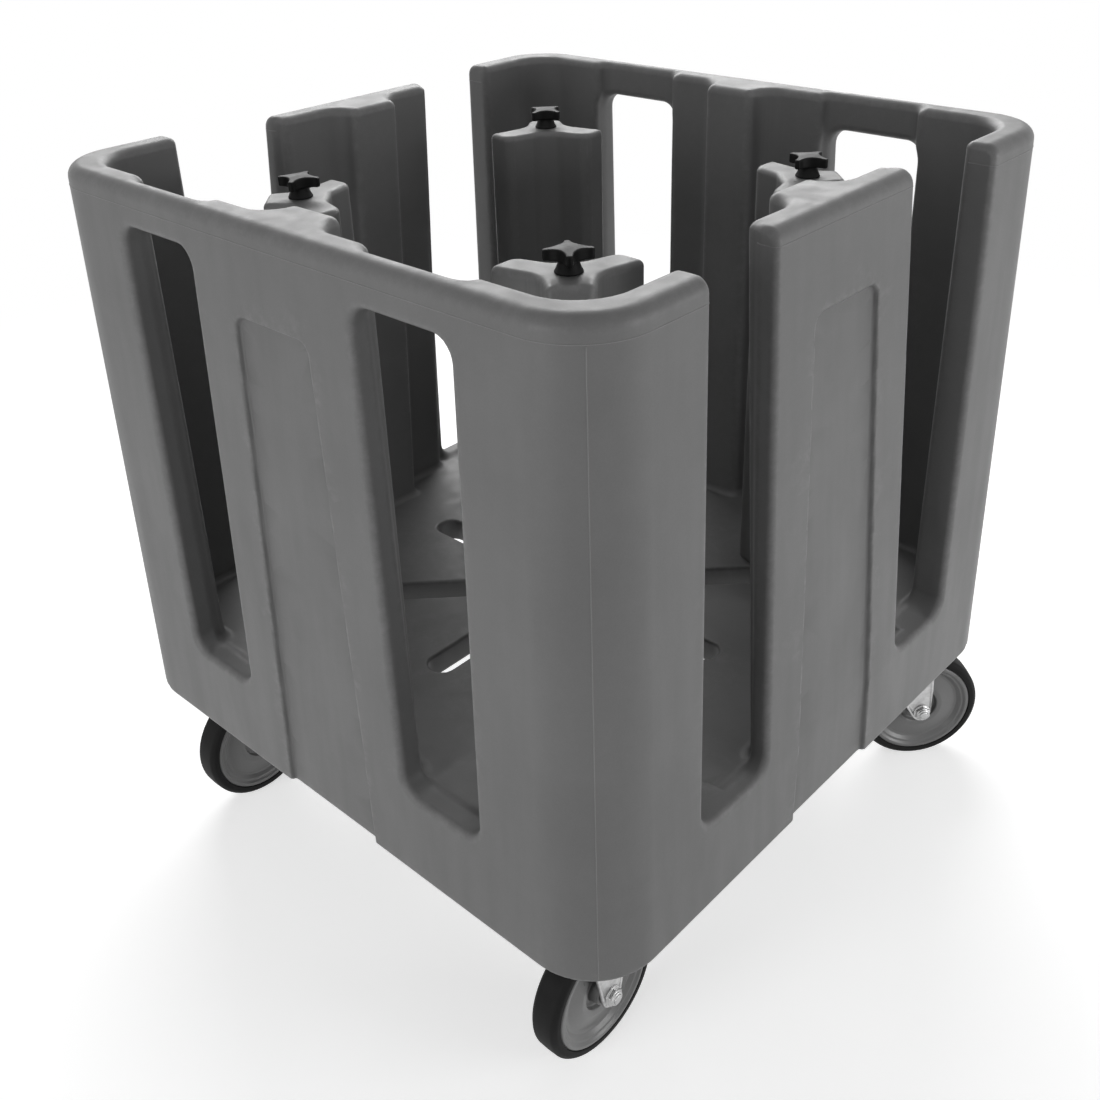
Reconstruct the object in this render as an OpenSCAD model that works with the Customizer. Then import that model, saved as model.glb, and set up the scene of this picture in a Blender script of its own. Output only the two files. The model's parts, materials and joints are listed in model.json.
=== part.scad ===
// Plate dispenser cart: a moulded tub on casters with four towers that slide to fit the plates.
// Millimetres. +Z is up and the origin is on the floor under the middle of the cart.
// Front is -Y. Corner numbers run 0 front left, 1 front right, 2 back right, 3 back left.

/* [Body] */
// Outside width of the tub at the rim
rim_w = 720; // [700:1:760]
// How far each side stands out past the rim at its bottom edge
flare = 8; // [4:1:12]
// Height of the rim above the ground
rim_z = 810; // [790:1:850]
// Height of the bottom edge of the skirt above the ground
skirt_z = 184; // [170:1:187]
// Height of the plate floor above the ground
floor_z = 280; // [270:1:300]
// Thickness of the double-walled floor
floor_t = 30; // [24:1:40]
// Outside corner radius at the rim
corner_r = 66; // [50:1:80]
// Wall thickness at the rim
wall_t = 34; // [28:1:36]
// Thickness of the rails over the windows and of the wall beside the panels
rail_t = 22; // [18:1:26]
// Height of the rail over each window
rail_h = 41; // [30:1:46]

/* [Openings in the walls] */
// Width of a corner post at the rim
post_top_w = 135; // [124:1:142]
// Width of a corner post at the bottom of the windows
post_bottom_w = 145; // [128:1:152]
// Width of a panel at the rim
panel_top_w = 222; // [200:1:232]
// Width of a panel at the bottom of the windows
panel_bottom_w = 246; // [222:1:252]
// Corner radius of the windows
gap_r = 20; // [12:1:22]
// Height of the sill under a window above the plate floor
sill_h = 4; // [2:0.5:8]
// How far the top of each front and back panel stands inward
panel_lean = 22; // [0:1:30]

/* [Panels] */
// Width of an inner fin at its end
fin_w = 64; // [50:1:76]
// How far a fin stands in from the wall
fin_d = 31; // [24:1:36]
// Radius that blends a fin into the wall
fin_blend_r = 26; // [18:1:30]
// Depth of the outer channel of a panel
channel_d = 5; // [3:0.5:7]
// Width of the outer channel at its top
channel_top_w = 100; // [90:1:110]
// Width of the outer channel at the bottom edge
channel_bottom_w = 138; // [120:1:146]
// Height of the top of the outer channel above the ground
channel_z = 722; // [700:1:740]

/* [Floor slots] */
// Width of a floor slot
slot_w = 32; // [28:1:36]
// Middle of the cart to the inner end of a slot
slot_in = 76; // [70:1:90]
// Inner face of the wall to the outer end of a slot along X or Y
slot_wall_gap = 108; // [98:1:128]
// Tower's rod at rest to the outer end of its slot
slot_past_rod = 46; // [44:1:50]

/* [Towers] */
// Square corner of the inner wall to a tower's rod at rest
tower_in = 203; // [196:1:250]
// Height of the top of a tower above the ground
tower_z = 762; // [740:1:790]
// Width of a tower over its two wings
tower_w = 136; // [124:1:140]
// Plate side to the narrow side of a tower
tower_d = 80; // [74:1:84]
// Width of a tower's narrow side
tower_stem_w = 40; // [36:1:46]
// Depth of the hollow in a tower's plate side
tower_hollow = 15; // [10:1:18]
// Radius of the hollow side of each wing
tower_flank_r = 40; // [30:1:50]
// Diameter of a tower's threaded rod
rod_d = 10; // [8:1:12]
// Width of a knob over two lobes
knob_w = 44; // [38:1:52]
// Height of a knob
knob_h = 23; // [18:1:28]
// Drop of a clamp plate in one turn of its knob
rod_pitch = 1.5; // [1:0.25:2]

/* [Casters] */
// Outside of the skirt to the middle of a caster
caster_in = 87; // [82:1:95]
// Diameter of a caster wheel
wheel_d = 150; // [125:1:152]
// Width of a tyre
tyre_w = 32; // [28:1:36]
// Diameter of the hub at its rim
hub_d = 128; // [100:1:136]
// Height of the mounting face above the ground
plate_z = 190; // [186:1:196]
// Swivel axis to the axle of a swivel caster
trail = 43; // [36:1:48]
// Thickness of the plates of the casters
leg_t = 3; // [2.5:0.5:4]
// Way that the front swivel caster points at rest, in degrees from +X
front_heading = -42; // [-180:1:180]
// Way that the back swivel caster points at rest, in degrees from +X
back_heading = 152; // [-180:1:180]

/* [Hidden] */
CORNERS = ["front_left", "front_right", "back_right", "back_left"];
$fn = 64;

grey_plastic = [0.18, 0.18, 0.18];
black_plastic = [0.015, 0.015, 0.015];
zinc = [0.6, 0.6, 0.61];
hub_grey = [0.17, 0.17, 0.17];
rubber_black = [0.02, 0.02, 0.02];

// Corners in the order of CORNERS: sign of x, sign of y
corner_x = [-1, 1, 1, -1];
corner_y = [-1, -1, 1, 1];
corner_angle = [225, 315, 45, 135];
// Turn of each knob about its rod at rest, in degrees from +X
knob_turn = [45, 0, 0, 30];

// Tub
half_rim = rim_w / 2;
half_base = half_rim + flare;
base_w = 2 * half_base;
tub_h = rim_z - skirt_z;
draft = (half_base - half_rim) / tub_h;
draft_angle = atan(draft);
corner_c = min(half_base, half_rim) - corner_r;
half_in = half_rim - wall_t;
half_rail = half_rim - rail_t;
rim_round = 14;
rim_soft = 5;
skirt_t = 28;
pad_half = 66;
inside_r = corner_r - wall_t + 12;
under_r = 40;
under_z = floor_z - floor_t;
sill_z = floor_z + sill_h;
gap_top_z = rim_z - rail_h;
gap_in_top = panel_top_w / 2;
gap_in_bottom = panel_bottom_w / 2;
gap_out_top = half_rim - post_top_w;
gap_out_bottom = half_base - post_bottom_w;
lean_angle = atan(panel_lean / (rim_z - floor_z));
step_in = 6;
post_step = 5;
pocket_half = gap_out_top - post_step;
fin_tip_r = 8;
channel_r = 12;
panel_sink = 1;
cut_over = 1;
arc_steps = 6;
seat_gap = 0.3;
fit_gap = 0.05;

// Tower and clamp
tower_at = half_in * sqrt(2) - tower_in;
slot_out = half_in - slot_wall_gap;
corner_slot_out = tower_at + slot_past_rod;
slot_play = 1;
key_h = 18;
key_w = slot_w - 2 * slot_play;
key_l = 56;
tower_end = 36;
tower_face = tower_end - tower_d;
tower_flat_w = 28;
lobe_back = 3;
lobe_in = 22;
wing_back = 21;
flank_foot = 30;
flank_swell = 4;
tower_lobe_r = 14;
tower_tip_r = 5;
tower_edge_r = 7;
tower_bore_r = rod_d / 2 + 0.75;
rod_foot = 24;
rod_short = 6;
rod_bottom_z = under_z - rod_foot;
clamp_w = 62;
clamp_l = 44;
clamp_t = 6;
clamp_top_z = under_z - seat_gap;
nut_w = 17;
nut_h = 8;

// Knob
knob_neck_r = 9;
knob_foot_r = 12.5;
knob_foot_h = 5;
knob_head_h = 10;
knob_crown_h = 2;
knob_lobe_r = 4.5;
knob_waist_r = 13;
knob_top_r = 4;
knob_bite_r = 17;
knob_bite = 1.5;

// Caster
caster_at = half_base - caster_in;
wheel_r = wheel_d / 2;
hub_r = hub_d / 2;
axle_z = wheel_r;
leg_gap = 2;
hub_side = 3;
hub_w = tyre_w + 2 * hub_side;
leg_in = hub_w / 2 + leg_gap;
leg_out = leg_in + leg_t;
leg_foot_r = 13;
fixed_leg_half = 36;
fork_back = 24;
fork_front = 8;
hub_boss_r = 15;
hub_pocket_r = 23;
hub_pocket_in = 6;
hub_rim_w = 14;
hub_web_r = hub_r - hub_rim_w;
hub_rim_r = hub_r - 8;
hub_web_t = 8;
hub_web_in = 12;
hub_short = 1;
tyre_edge_r = 6;
tyre_edge = 2;
bush_r = 9;
bush_flange = 3;
bush_flange_t = 1.5;
axle_r = 5;
axle_head = 17;
axle_head_h = 6;
axle_nut_h = 8;
axle_end = 9;
top_plate_t = 4;
top_plate_w = 84;
top_plate_l = 104;
top_plate_r = 8;
bolt_span_w = 60;
bolt_span_l = 80;
bolt_r = 4;
bolt_sunk = 24;
bolt_slack = 0.25;
bolt_hole_slack = 0.5;
bolt_head = 13;
bolt_head_h = 5.5;
crown_drop = 30;
crown_z = plate_z - crown_drop;
crown_r = 38;
crown_cone_h = 13;
crown_cone_r = 34;
ball_z = crown_z + 14;
ball_r = 4;
ball_ring_r = 26;
ball_count = 15;
race_r = 33;
race_top_r = 38;
king_r = 6;
king_head_r = 10;
king_head_h = 6;
king_head_in = 7;
king_head_play = 1;
king_nut = 19;
king_end = 8;

function at_radius(i, r) = [r * cos(corner_angle[i]), r * sin(corner_angle[i])];

// Block with the tub's rounded corners and sloping sides, between two heights
module tub_block(z0, z1, out0, out1) {
    for (sx = [-1, 1], sy = [-1, 1])
        translate([sx * corner_c, sy * corner_c, z0])
            cylinder(h = z1 - z0, r1 = out0 - corner_c, r2 = out1 - corner_c);
    for (a = [0, 90])
        rotate([90, 0, a])
            linear_extrude(2 * corner_c, center = true)
                polygon([[-out0, z0], [out0, z0], [out1, z1], [-out1, z1]]);
}

function half_at(z) = half_base - draft * (z - skirt_z);

module tub_outside() {
    tub_block(skirt_z, rim_z - rim_round, half_base, half_at(rim_z - rim_round));
    tub_block(rim_z - rim_round, rim_z - rim_soft,
        half_at(rim_z - rim_round), half_rim - rim_soft);
    tub_block(rim_z - rim_soft, rim_z, half_rim - rim_soft, half_rim - rim_round);
}

// Square with round corners
module round_square(half, r) {
    for (sx = [-1, 1], sy = [-1, 1])
        translate([sx * (half - r), sy * (half - r)])
            circle(r);
    square([2 * half, 2 * (half - r)], center = true);
    square([2 * (half - r), 2 * half], center = true);
}

// Plan of one panel's inner fin, with its wall along y = 0 and the cart's middle towards +y
module fin_plan() {
    square_top = fin_d - fin_tip_r;
    translate([-fin_w / 2, -cut_over])
        square([fin_w, square_top + cut_over]);
    translate([-fin_w / 2 + fin_tip_r, -cut_over])
        square([fin_w - 2 * fin_tip_r, fin_d + cut_over]);
    for (s = [-1, 1])
        translate([s * (fin_w / 2 - fin_tip_r), square_top])
            circle(fin_tip_r);
    for (s = [-1, 1])
        difference() {
            translate([s * (fin_w + fin_blend_r) / 2, (fin_blend_r - cut_over) / 2])
                square([fin_blend_r, fin_blend_r + cut_over], center = true);
            translate([s * (fin_w / 2 + fin_blend_r), fin_blend_r])
                circle(fin_blend_r);
        }
}

// Outline with round corners. Each corner: middle of its arc, radius, angle where the arc starts
module round_outline(corners) {
    polygon([
        for (c = corners, k = [0:arc_steps])
            [c[0] + c[2] * cos(c[3] + k * 90 / arc_steps), c[1] + c[2] * sin(c[3] + k * 90 / arc_steps)]
    ]);
}

function gap_in_at(z) = gap_in_bottom + (gap_in_top - gap_in_bottom) * (z - sill_z) / (gap_top_z - sill_z);
function gap_out_at(z) = gap_out_bottom + (gap_out_top - gap_out_bottom) * (z - sill_z) / (gap_top_z - sill_z);

// Outline of a wall opening seen from outside: it narrows downwards
module gap_outline(top_z) {
    round_outline([
        [gap_out_at(top_z) - gap_r, top_z - gap_r, gap_r, 0],
        [gap_in_at(top_z) + gap_r, top_z - gap_r, gap_r, 90],
        [gap_in_bottom + gap_r, sill_z + gap_r, gap_r, 180],
        [gap_out_bottom - gap_r, sill_z + gap_r, gap_r, 270]
    ]);
}

// Outline of the whole opening between two posts
module open_outline() {
    round_outline([
        [gap_out_top, rim_z, rim_soft, 0],
        [-gap_out_top, rim_z, rim_soft, 90],
        [-gap_out_bottom + gap_r, sill_z + gap_r, gap_r, 180],
        [gap_out_bottom - gap_r, sill_z + gap_r, gap_r, 270]
    ]);
}

// Outline of a panel's shallow outer channel above z0
module channel_outline(z0) {
    run = (z0 - skirt_z) / (channel_z - skirt_z);
    foot = (channel_bottom_w + (channel_top_w - channel_bottom_w) * run) / 2;
    top = channel_top_w / 2 - channel_r;
    round_outline([
        [top, channel_z - channel_r, channel_r, 0],
        [-top, channel_z - channel_r, channel_r, 90],
        [-foot + rim_soft / 2, z0 - rim_soft / 2, rim_soft / 2, 180],
        [foot - rim_soft / 2, z0 - rim_soft / 2, rim_soft / 2, 270]
    ]);
}

// Turns children drawn in a side view towards a tub side that slopes by an angle from height z0 up
module on_side(z0, angle) {
    translate([0, -half_at(z0), z0])
        rotate([-angle, 0, 0])
            translate([0, 0, -z0])
                rotate([90, 0, 0])
                    children();
}

module channel_cut(z0, angle) {
    on_side(z0, angle)
        linear_extrude(2 * channel_d, center = true)
            channel_outline(z0);
}

// Thinner stretch of a side wall on both sides of its panel
module rail_pocket() {
    near = gap_in_top - step_in;
    far = pocket_half;
    for (s = [-1, 1])
        translate([s * (near + far) / 2, -half_rail / 2])
            square([far - near, half_rail], center = true);
}

// Cavity above the plate floor
module well() {
    translate([0, 0, floor_z])
        linear_extrude(rim_z - floor_z + cut_over)
            difference() {
                union() {
                    round_square(half_in, inside_r);
                    for (a = [90, 270])
                        rotate(a)
                            rail_pocket();
                    // The front and back walls stay thin from post to post
                    square([2 * pocket_half, 2 * half_rail], center = true);
                }
                for (a = [90, 270])
                    rotate(a)
                        translate([0, -half_in])
                            fin_plan();
            }
}

// One front or back panel, standing on the plate floor and leaning inward
module leaning_panel() {
    foot_half = gap_in_bottom + gap_r + cut_over;
    angle = lean_angle + draft_angle;
    high = rim_z - floor_z + gap_r;
    step_at = gap_in_top - step_in;
    difference() {
        translate([0, -half_at(floor_z), floor_z])
            rotate([-angle, 0, 0])
                translate([0, 0, -panel_sink])
                    linear_extrude(high)
                        difference() {
                            union() {
                                translate([-foot_half, 0])
                                    square([2 * foot_half, wall_t]);
                                translate([0, wall_t])
                                    fin_plan();
                            }
                            for (s = [-1, 1])
                                translate([s * (step_at + foot_half), wall_t])
                                    square([2 * foot_half, 2 * (wall_t - rail_t)], center = true);
                        }
        for (s = [0, 1])
            mirror([s, 0, 0])
                on_side(floor_z, angle)
                    linear_extrude(base_w / 2, center = true)
                        gap_outline(rim_z + 2 * gap_r);
        channel_cut(floor_z, angle);
        translate([-half_base, -half_base, rim_z])
            cube([base_w, half_base, high]);
    }
}

module floor_slot(a, r_out) {
    rotate(a)
        translate([0, 0, under_z - cut_over]) {
            translate([slot_in + slot_w / 2, 0])
                cylinder(h = floor_t + 2 * cut_over, d = slot_w);
            translate([r_out - slot_w / 2, 0])
                cylinder(h = floor_t + 2 * cut_over, d = slot_w);
            translate([slot_in + slot_w / 2, -slot_w / 2])
                cube([r_out - slot_in - slot_w, slot_w, floor_t + 2 * cut_over]);
        }
}

// Room under the floor, inside the skirt, with a solid pad left over each caster
module under_cavity() {
    difference() {
        translate([0, 0, skirt_z - cut_over])
            linear_extrude(under_z - skirt_z + cut_over)
                round_square(half_at(under_z) - skirt_t, under_r);
        for (i = [0:3])
            translate([corner_x[i] * caster_at - pad_half, corner_y[i] * caster_at - pad_half, plate_z])
                cube([2 * pad_half, 2 * pad_half, under_z - plate_z + cut_over]);
    }
}

module body() {
    color(grey_plastic)
        difference() {
            union() {
                difference() {
                    tub_outside();
                    well();
                    // Front and back walls, open between the posts
                    rotate([90, 0, 0])
                        linear_extrude(base_w + rim_w, center = true)
                            open_outline();
                    // Windows, cut through both side walls at once
                    for (s = [0, 1])
                        mirror([0, s, 0])
                            rotate([90, 0, 90])
                                linear_extrude(base_w + rim_w, center = true)
                                    gap_outline(gap_top_z);
                    for (a = [0:90:270])
                        rotate(a)
                            channel_cut(skirt_z, draft_angle);
                }
                for (a = [0, 180])
                    rotate(a)
                        leaning_panel();
            }
            for (i = [0:3])
                floor_slot(corner_angle[i], corner_slot_out);
            for (a = [0:90:270])
                floor_slot(a, slot_out);
            under_cavity();
            for (i = [0:3])
                caster_bolt_places(i)
                    translate([0, 0, plate_z - cut_over])
                        cylinder(h = bolt_sunk + cut_over, r = bolt_r + bolt_slack);
        }
}

// Places a tower's own frame: +X away from the middle of the cart, origin on the rod at ground level
module tower_frame(i) {
    translate([at_radius(i, tower_at)[0], at_radius(i, tower_at)[1], 0])
        rotate(corner_angle[i])
            children();
}

function unit(v) = v / norm(v);

// Points of an arc that rounds corner b of the path a, b, c
function corner_arc(a, b, c, r) =
    let (
        u = unit(a - b),
        w = unit(c - b),
        half = acos(u * w) / 2,
        middle = b + unit(u + w) * r / sin(half),
        first = b + u * r / tan(half) - middle,
        last = b + w * r / tan(half) - middle,
        from = atan2(first[1], first[0]),
        swing = atan2(last[1], last[0]) - from,
        turn = swing > 180 ? swing - 360 : swing < -180 ? swing + 360 : swing
    )
    [for (k = [0:arc_steps]) middle + r * [cos(from + turn * k / arc_steps), sin(from + turn * k / arc_steps)]];

// Closed outline with its own radius at each corner. Each corner: x, y, radius
module rounded_path(corners) {
    n = len(corners);
    flat = [for (c = corners) [c[0], c[1]]];
    polygon([for (i = [0:n - 1], p = corner_arc(flat[(i + n - 1) % n], flat[i], flat[(i + 1) % n], corners[i][2])) p]);
}

// Plan of a tower, +X away from the cart's middle: hollow plate side, two wings, narrow back
module tower_plan() {
    side = [
        [tower_face + tower_hollow, tower_flat_w / 2, tower_lobe_r],
        [tower_face - lobe_back, tower_w / 2 - lobe_in, tower_lobe_r],
        [tower_face + wing_back, tower_w / 2, tower_tip_r],
        [tower_end - flank_foot, tower_stem_w / 2 + flank_swell, tower_flank_r],
        [tower_end, tower_stem_w / 2, tower_edge_r]
    ];
    rounded_path(concat(
        side,
        [for (k = [len(side) - 1:-1:0]) [side[k][0], -side[k][1], side[k][2]]]
    ));
}

module tower(i) {
    color(grey_plastic)
        tower_frame(i)
            difference() {
                union() {
                    translate([0, 0, floor_z + seat_gap])
                        linear_extrude(tower_z - floor_z - seat_gap)
                            tower_plan();
                    // Key that rides in the floor slot
                    translate([(key_w - key_l) / 2, -key_w / 2, floor_z - key_h])
                        cube([key_l - key_w, key_w, key_h + cut_over]);
                    for (s = [-1, 1])
                        translate([s * (key_l - key_w) / 2, 0, floor_z - key_h])
                            cylinder(h = key_h + cut_over, d = key_w);
                }
                translate([0, 0, floor_z - key_h - cut_over])
                    cylinder(h = tower_z - floor_z + key_h + 2 * cut_over, r = tower_bore_r);
            }
}

module knob(i) {
    head_z = tower_z + knob_h - knob_head_h;
    edge_z = tower_z + knob_h - knob_crown_h;
    color(black_plastic)
        tower_frame(i)
            rotate(knob_turn[i] - corner_angle[i])
                difference() {
                    union() {
                        translate([0, 0, tower_z + seat_gap])
                            cylinder(h = knob_foot_h, r1 = knob_foot_r, r2 = knob_neck_r);
                        translate([0, 0, tower_z + knob_foot_h])
                            cylinder(h = knob_h - knob_head_h - knob_foot_h + cut_over, r = knob_neck_r);
                        translate([0, 0, head_z])
                            linear_extrude(edge_z - head_z)
                                knob_plan();
                        translate([0, 0, edge_z])
                            cylinder(h = knob_crown_h, r1 = knob_waist_r - knob_bite, r2 = knob_top_r);
                    }
                    translate([0, 0, tower_z - cut_over])
                        cylinder(h = knob_h - rod_short + cut_over, d = rod_d);
                }
}

// Four lobes with hollow sides between them
module knob_plan() {
    reach = knob_w / 2 - knob_lobe_r;
    difference() {
        union() {
            for (a = [0, 90])
                rotate(a) {
                    square([2 * reach, 2 * knob_lobe_r], center = true);
                    for (s = [-1, 1])
                        translate([s * reach, 0])
                            circle(knob_lobe_r);
                }
            rotate(45)
                square(2 * knob_waist_r, center = true);
        }
        for (a = [45:90:315])
            rotate(a)
                translate([knob_waist_r + knob_bite_r - knob_bite, 0])
                    circle(knob_bite_r);
    }
}

module rod(i) {
    color(zinc)
        tower_frame(i)
            translate([0, 0, rod_bottom_z])
                cylinder(h = tower_z + knob_h - rod_short - rod_bottom_z, d = rod_d);
}

module clamp_plate(i) {
    color(zinc)
        tower_frame(i)
            difference() {
                translate([-clamp_l / 2, -clamp_w / 2, clamp_top_z - clamp_t])
                    cube([clamp_l, clamp_w, clamp_t]);
                translate([0, 0, clamp_top_z - clamp_t - cut_over])
                    cylinder(h = clamp_t + 2 * cut_over, r = rod_d / 2 + fit_gap);
            }
}

module clamp_nut(i) {
    color(zinc)
        tower_frame(i)
            translate([0, 0, clamp_top_z - clamp_t - nut_h])
                difference() {
                    cylinder(h = nut_h, d = nut_w / cos(30), $fn = 6);
                    translate([0, 0, -cut_over])
                        cylinder(h = nut_h + 2 * cut_over, r = rod_d / 2 + fit_gap);
                }
}

// Places a caster's own frame: origin on the ground under the middle of its mounting plate
module caster_frame(i) {
    translate([corner_x[i] * caster_at, corner_y[i] * caster_at, 0])
        children();
}

function heading(i) = i == 1 ? front_heading : i == 2 ? back_heading : 0;
function wheel_out(i) = i == 1 || i == 2 ? trail : 0;

// Places a wheel's own frame: origin on the axle, axle along Y
module wheel_frame(i) {
    caster_frame(i)
        rotate(heading(i))
            translate([wheel_out(i), 0, axle_z])
                children();
}

module caster_bolt_places(i) {
    caster_frame(i)
        for (sx = [-1, 1], sy = [-1, 1])
            translate([sx * bolt_span_l / 2, sy * bolt_span_w / 2, 0])
                children();
}

module top_plate(i) {
    translate([0, 0, plate_z - top_plate_t])
        linear_extrude(top_plate_t)
            difference() {
                union() {
                    for (sx = [-1, 1], sy = [-1, 1])
                        translate([sx * (top_plate_l / 2 - top_plate_r), sy * (top_plate_w / 2 - top_plate_r)])
                            circle(top_plate_r);
                    square([top_plate_l, top_plate_w - 2 * top_plate_r], center = true);
                    square([top_plate_l - 2 * top_plate_r, top_plate_w], center = true);
                }
                for (sx = [-1, 1], sy = [-1, 1])
                    translate([sx * bolt_span_l / 2, sy * bolt_span_w / 2])
                        circle(bolt_r + bolt_hole_slack);
            }
}

// Side view of one leg, wide at the top and round at the axle, which is the origin
module leg_side(back, front, top_z) {
    hull() {
        circle(leg_foot_r, $fn = 32);
        translate([-back, top_z - axle_z - leg_t])
            square([back + front, leg_t]);
    }
}

module leg(back, front, top_z, s) {
    translate([0, s * (leg_in + leg_t / 2), 0])
        rotate([90, 0, 0])
            linear_extrude(leg_t, center = true)
                difference() {
                    leg_side(back, front, top_z);
                    circle(axle_r + fit_gap);
                }
}

module fixed_bracket(i) {
    color(zinc)
        union() {
            caster_frame(i)
                top_plate(i);
            wheel_frame(i)
                for (s = [-1, 1])
                    leg(fixed_leg_half, fixed_leg_half, plate_z - top_plate_t + leg_t / 2, s);
        }
}

// Groove for half of the ring of balls
module ball_race() {
    translate([0, 0, ball_z])
        rotate_extrude()
            translate([ball_ring_r, 0])
                circle(ball_r + fit_gap);
}

module swivel_plate(i) {
    cone_h = plate_z - top_plate_t - ball_z;
    color(zinc)
        caster_frame(i)
            difference() {
                union() {
                    top_plate(i);
                    translate([0, 0, ball_z])
                        cylinder(h = cone_h, r1 = race_r, r2 = race_top_r);
                }
                translate([0, 0, ball_z - cut_over])
                    cylinder(h = plate_z - ball_z + 2 * cut_over, r = king_r + fit_gap);
                ball_race();
                translate([0, 0, plate_z - king_head_in])
                    cylinder(h = king_head_in + cut_over, r = king_head_r + king_head_play);
            }
}

module swivel_balls(i) {
    color(zinc)
        caster_frame(i)
            for (k = [1:ball_count])
                rotate(k * 360 / ball_count)
                    translate([ball_ring_r, 0, ball_z])
                        sphere(ball_r, $fn = 24);
}

module swivel_fork(i) {
    color(zinc)
        caster_frame(i)
            rotate(heading(i))
                difference() {
                    union() {
                        translate([0, 0, crown_z])
                            cylinder(h = leg_t, r = crown_r);
                        translate([0, -leg_out, crown_z])
                            cube([trail + fork_front, 2 * leg_out, leg_t]);
                        translate([0, 0, crown_z])
                            cylinder(h = crown_cone_h, r1 = crown_r, r2 = crown_cone_r);
                        translate([trail, 0, axle_z])
                            for (s = [-1, 1])
                                leg(trail + fork_back, fork_front, crown_z + leg_t, s);
                    }
                    translate([0, 0, crown_z - cut_over])
                        cylinder(h = crown_cone_h + 2 * cut_over, r = king_r + fit_gap);
                    ball_race();
                }
}

module king_pin(i) {
    head_z = plate_z - king_head_in;
    color(zinc)
        caster_frame(i) {
            translate([0, 0, crown_z - king_end])
                cylinder(h = head_z + cut_over - crown_z + king_end, r = king_r);
            translate([0, 0, head_z])
                cylinder(h = king_head_h, r = king_head_r);
            translate([0, 0, crown_z - king_end + king_head_play])
                cylinder(h = king_end - king_head_play - seat_gap, d = king_nut / cos(30), $fn = 6);
        }
}

module wheel_hub(i) {
    half = tyre_w / 2 - hub_short;
    side = [
        [bush_r, hub_w / 2], [hub_boss_r, hub_w / 2],
        [hub_boss_r, hub_pocket_in], [hub_pocket_r, hub_pocket_in],
        [hub_pocket_r, hub_web_in], [hub_web_r, hub_web_t],
        [hub_rim_r, half], [hub_r, half]
    ];
    color(hub_grey)
        wheel_frame(i)
            rotate([90, 0, 0])
                rotate_extrude()
                    polygon(concat(side, [for (k = [len(side) - 1:-1:0]) [side[k][0], -side[k][1]]]));
}

module tyre(i) {
    half = tyre_w / 2;
    side = [
        [hub_r, half], [wheel_r - tyre_edge_r, half],
        [wheel_r - tyre_edge, half - tyre_edge], [wheel_r, half - tyre_edge_r]
    ];
    color(rubber_black)
        wheel_frame(i)
            rotate([90, 0, 0])
                rotate_extrude()
                    polygon(concat(side, [for (k = [len(side) - 1:-1:0]) [side[k][0], -side[k][1]]]));
}

module wheel_bush(i) {
    color(black_plastic)
        wheel_frame(i)
            rotate([90, 0, 0])
                difference() {
                    union() {
                        cylinder(h = hub_w, r = bush_r, center = true);
                        for (s = [-1, 1])
                            translate([0, 0, s * (hub_w + bush_flange_t) / 2])
                                cylinder(h = bush_flange_t, r = bush_r + bush_flange, center = true);
                    }
                    cylinder(h = hub_w + 3 * bush_flange_t, r = axle_r + fit_gap, center = true);
                }
}

module axle_bolt(i) {
    color(zinc)
        wheel_frame(i)
            rotate([90, 0, 0]) {
                translate([0, 0, -leg_out - axle_end])
                    cylinder(h = 2 * leg_out + axle_end + axle_head_h / 2, r = axle_r);
                translate([0, 0, leg_out])
                    cylinder(h = axle_head_h, d = axle_head / cos(30), $fn = 6);
            }
}

module axle_nut(i) {
    color(zinc)
        wheel_frame(i)
            rotate([90, 0, 0])
                translate([0, 0, -leg_out - axle_nut_h])
                    difference() {
                        cylinder(h = axle_nut_h, d = axle_head / cos(30), $fn = 6);
                        translate([0, 0, -cut_over])
                            cylinder(h = axle_nut_h + 2 * cut_over, r = axle_r);
                    }
}

// Four bolts hold each caster to its pad
module caster_bolts() {
    head_z = plate_z - top_plate_t;
    color(zinc)
        for (i = [0:3])
            caster_bolt_places(i) {
                translate([0, 0, head_z])
                    cylinder(h = bolt_sunk, r = bolt_r);
                translate([0, 0, head_z - bolt_head_h])
                    cylinder(h = bolt_head_h, d = bolt_head / cos(30), $fn = 6);
            }
}

for (i = [0:3]) {
    tower(i);
    knob(i);
    rod(i);
    clamp_plate(i);
    clamp_nut(i);
    wheel_hub(i);
    tyre(i);
    wheel_bush(i);
    axle_bolt(i);
    axle_nut(i);
}
for (i = [0, 3]) {
    fixed_bracket(i);
}
for (i = [1, 2]) {
    swivel_plate(i);
    swivel_fork(i);
    swivel_balls(i);
    king_pin(i);
}
body();
caster_bolts();
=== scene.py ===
import json
import math

import bmesh
import bpy
import numpy as np
from mathutils import Matrix, Vector


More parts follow.
